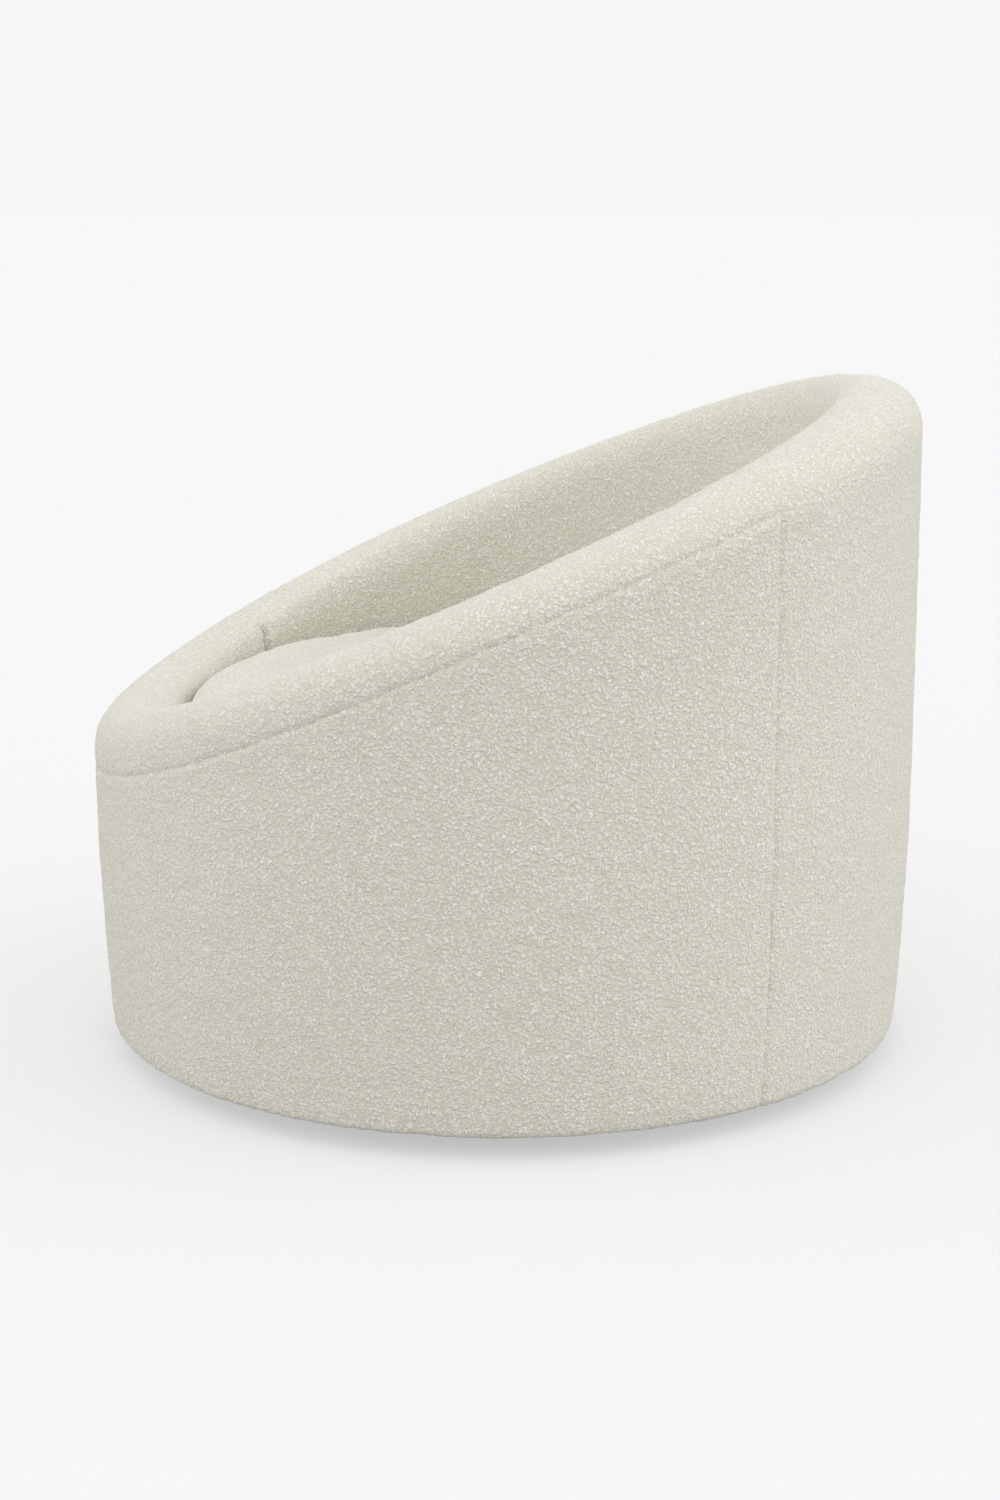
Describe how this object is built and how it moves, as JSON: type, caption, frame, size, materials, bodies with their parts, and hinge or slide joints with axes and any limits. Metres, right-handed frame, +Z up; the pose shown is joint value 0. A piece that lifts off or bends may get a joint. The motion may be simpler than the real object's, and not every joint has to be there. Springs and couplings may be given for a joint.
{
  "type": "round upholstered swivel armchair",
  "caption": "Round drum-shaped tub armchair with a slanted rolled rim, loose round seat cushion and a hidden ball-bearing swivel, covered in ivory looped fabric.",
  "frame": {"origin": "on the floor, on the swivel axis, at the centre of the drum", "axes": "+Z up along the swivel axis, -Y the way the sitter faces, +X the sitter's left"},
  "size_m": [0.8998, 0.8995, 0.728],
  "materials": {
    "plywood": "birch plywood, sawn and sanded",
    "softwood": "planed pine",
    "hardboard": "smooth brown hardboard",
    "black_nylon": "moulded black nylon",
    "white_nylon": "turned natural nylon",
    "zinc_screw": "bright zinc plate",
    "black_steel": "satin black paint on pressed steel",
    "cage_steel": "plain pressed steel",
    "ball_steel": "polished bearing steel",
    "clip_steel": "zinc plated strip",
    "spring_steel": "oiled dark spring wire",
    "paper_tie": "paper covered tie wire",
    "grey_felt": "needled grey felt",
    "foam": "open-cell upholstery foam",
    "wadding": "white polyester wadding",
    "lining_cloth": "plain woven cotton lining",
    "looped_fabric": "ivory looped pile with short curled nubs",
    "dust_cloth": "black non-woven dust cloth",
    "zip_tape": "ivory zip tape and coil"
  },
  "bodies": {
    "base": {"base_plinth": "plywood", "floor_glides": "black_nylon", "glide_screws": "zinc_screw", "lower_swivel_plate": "black_steel", "lower_plate_screws": "zinc_screw", "centre_bolt": "zinc_screw", "centre_washer": "zinc_screw", "centre_nut": "zinc_screw"},
    "ball_cage": {"ball_cage": "cage_steel", "bearing_balls": "ball_steel"},
    "tub": {"upper_swivel_plate": "black_steel", "centre_bush": "white_nylon", "upper_plate_bolts": "zinc_screw", "tee_nuts": "zinc_screw", "bottom_board": "plywood", "frame_posts": "plywood", "ring_blocks": "softwood", "seat_ring": "plywood", "top_rail": "plywood", "outer_skin": "hardboard", "inner_skin": "hardboard", "spring_clips": "clip_steel", "seat_springs": "spring_steel", "spring_ties": "paper_tie", "deck_felt": "grey_felt", "deck_foam": "foam", "deck_cloth": "lining_cloth", "outer_wadding": "wadding", "inner_foam": "foam", "rim_foam": "foam", "rim_cover": "looped_fabric", "inside_cover": "looped_fabric", "side_cover": "looped_fabric", "dust_cover": "dust_cloth", "dust_staples": "zinc_screw"},
    "seat_cushion": {"cushion_core": "foam", "cushion_wrap": "wadding", "cushion_cover": "looped_fabric", "cushion_zip": "zip_tape", "zip_slider": "zinc_screw"}
  },
  "joints": [
    {"name": "swivel", "type": "hinge", "parent": "base", "child": "tub", "pos_m": [0, 0, 0.03], "axis": [0, 0, 1], "continuous": true},
    {"name": "cage_turn", "type": "hinge", "parent": "base", "child": "ball_cage", "pos_m": [0, 0, 0.024], "axis": [0, 0, 1], "continuous": true},
    {"name": "cushion_lift", "type": "slide", "parent": "tub", "child": "seat_cushion", "axis": [0, 0, 1], "range_m": [0, 0.25]}
  ],
  "couplings": [
    {"joint": "cage_turn", "follows": "swivel", "ratio": 0.5}
  ]
}
